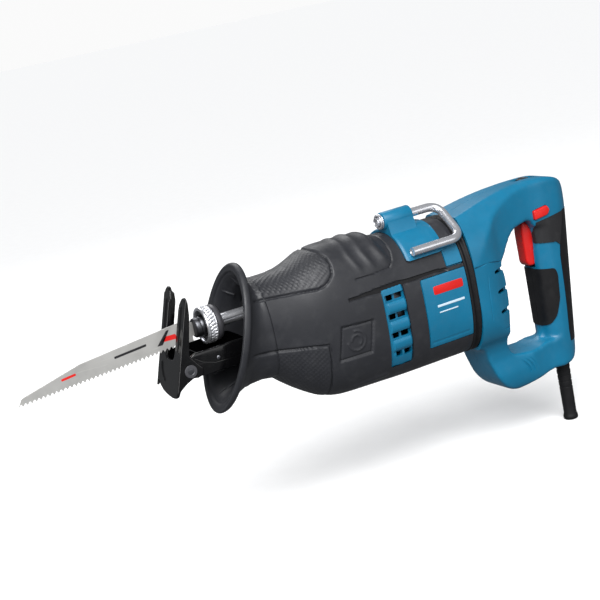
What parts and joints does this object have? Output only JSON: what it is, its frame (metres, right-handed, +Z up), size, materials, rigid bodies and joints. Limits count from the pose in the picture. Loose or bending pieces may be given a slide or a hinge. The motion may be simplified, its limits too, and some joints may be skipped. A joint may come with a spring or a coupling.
{
  "type": "reciprocating saw",
  "caption": "Corded reciprocating saw with a D-handle, hinged pivoting shoe, keyless blade chuck, rubber-covered body, folding hook and crank-driven plunger.",
  "frame": {"origin": "middle of the bottom of the whole saw's bounding box, level with the end of the cable sleeve", "axes": "-X towards the blade's tip, along the plunger's travel; +Z up, from the trigger's side of the handle to the hook's; Y across the saw, -Y is its left side"},
  "size_m": [0.611, 0.0966, 0.2807],
  "materials": {
    "blade_steel": "lightly brushed",
    "chrome_steel": "polished and plated",
    "grey_steel": "blackened steel",
    "gear_steel": "ground and oiled",
    "black_painted_steel": "glossy black paint",
    "cast_aluminium": "as cast",
    "sintered_bronze": "sintered, oiled",
    "copper": "enamelled copper",
    "carbon": "pressed carbon",
    "blue_plastic": "fine-grained satin",
    "dark_rubber": "fine-grained, satin",
    "black_rubber": "matt",
    "grey_rubber": "matt, soft touch",
    "red_plastic": "satin gloss",
    "black_plastic": "satin",
    "clear_lens": "clear, polished"
  },
  "bodies": {
    "saw": {"bearing_bridge": "cast_aluminium", "brush_holder_left": "sintered_bronze", "brush_holder_right": "sintered_bronze", "cable_clamp": "black_plastic", "cable_sleeve": "black_rubber", "carbon_brush_left": "carbon", "carbon_brush_right": "carbon", "control_module": "black_plastic", "damping_ring": "black_rubber", "field_coil_lower": "copper", "field_coil_upper": "copper", "front_bush": "sintered_bronze", "front_guard": "dark_rubber", "front_motor_bearing": "gear_steel", "gear_bearing": "gear_steel", "gear_bearing_plate": "cast_aluminium", "gear_housing": "cast_aluminium", "gear_housing_cover": "cast_aluminium", "grip_back_rubber": "black_rubber", "grip_pad_lower_left": "black_rubber", "grip_pad_lower_right": "black_rubber", "grip_pad_upper_left": "grey_rubber", "grip_pad_upper_right": "grey_rubber", "handle_screw_1": "grey_steel", "handle_screw_2": "grey_steel", "handle_screw_3": "grey_steel", "handle_shell_left": "blue_plastic", "handle_shell_right": "blue_plastic", "hook_bracket": "blue_plastic", "hook_detent_spring": "chrome_steel", "led_lens": "clear_lens", "motor_housing": "blue_plastic", "plunger_seal": "black_rubber", "rear_bush": "sintered_bronze", "rear_motor_bearing": "gear_steel", "rubber_sleeve": "dark_rubber", "stator_core": "grey_steel", "switch_module": "black_plastic"},
    "plunger": {"saw_blade": "blade_steel", "chuck_body": "grey_steel", "blade_lock_pin": "gear_steel", "chuck_rear_cap": "grey_steel", "plunger_rod": "chrome_steel"},
    "lock_collar": {"chuck_lock_collar": "chrome_steel"},
    "shoe_slide": {"shoe_arm": "black_painted_steel", "shoe_pivot_pin": "chrome_steel"},
    "shoe": {"shoe_plate": "black_painted_steel"},
    "shoe_button": {"shoe_lock_button": "red_plastic"},
    "crank": {"crank_gear": "gear_steel", "crank_pin": "gear_steel", "gear_shaft": "gear_steel"},
    "armature": {"armature_shaft": "gear_steel", "pinion": "gear_steel", "armature_core": "grey_steel", "commutator": "copper", "cooling_fan": "black_plastic"},
    "hook": {"hanging_hook": "chrome_steel"},
    "trigger_lever": {"trigger": "red_plastic"},
    "lock_button": {"lock_on_button": "red_plastic"},
    "dial": {"speed_dial": "black_plastic"}
  },
  "joints": [
    {"name": "blade_stroke", "type": "slide", "parent": "saw", "child": "plunger", "axis": [1, 0, 0], "range_m": [-0.004, 0.024]},
    {"name": "collar_turn", "type": "hinge", "parent": "plunger", "child": "lock_collar", "pos_m": [-0.123, 0, 0.2244], "axis": [1, 0, 0], "range_deg": [0, 80], "stiffness_Nm_per_rad": 0.25, "springref_deg": -17.19},
    {"name": "shoe_depth", "type": "slide", "parent": "saw", "child": "shoe_slide", "axis": [-1, 0, 0], "range_m": [0, 0.024]},
    {"name": "shoe_tilt", "type": "hinge", "parent": "shoe_slide", "child": "shoe", "pos_m": [-0.152, 0, 0.1934], "axis": [0, 1, 0], "range_deg": [-15, 12]},
    {"name": "shoe_lock_press", "type": "slide", "parent": "saw", "child": "shoe_button", "axis": [0, -1, 0], "range_m": [0, 0.0028], "stiffness_N_per_m": 900, "springref_m": -0.002},
    {"name": "armature_spin", "type": "hinge", "parent": "saw", "child": "armature", "pos_m": [-0.123, 0, 0.1894], "axis": [1, 0, 0], "continuous": true},
    {"name": "crank_spin", "type": "hinge", "parent": "saw", "child": "crank", "pos_m": [-0.011, 0, 0.2244], "axis": [0, 0, 1], "continuous": true},
    {"name": "hook_fold", "type": "hinge", "parent": "saw", "child": "hook", "pos_m": [0.1, -0.008, 0.2719], "axis": [-1, 0, 0], "range_deg": [0, 110]},
    {"name": "trigger_pull", "type": "hinge", "parent": "saw", "child": "trigger_lever", "pos_m": [0.254, 0, 0.2264], "axis": [0, -1, 0], "range_deg": [0, 9], "stiffness_Nm_per_rad": 3, "springref_deg": -8.59},
    {"name": "lock_on_press", "type": "slide", "parent": "saw", "child": "lock_button", "axis": [0, 1, 0], "range_m": [0, 0.0024], "stiffness_N_per_m": 600, "springref_m": -0.002},
    {"name": "speed_turn", "type": "hinge", "parent": "saw", "child": "dial", "pos_m": [0.26, 0, 0.2599], "axis": [0, 1, 0], "range_deg": [-135, 135]}
  ],
  "couplings": [
    {"joint": "crank_spin", "follows": "armature_spin", "ratio": -0.25}
  ]
}
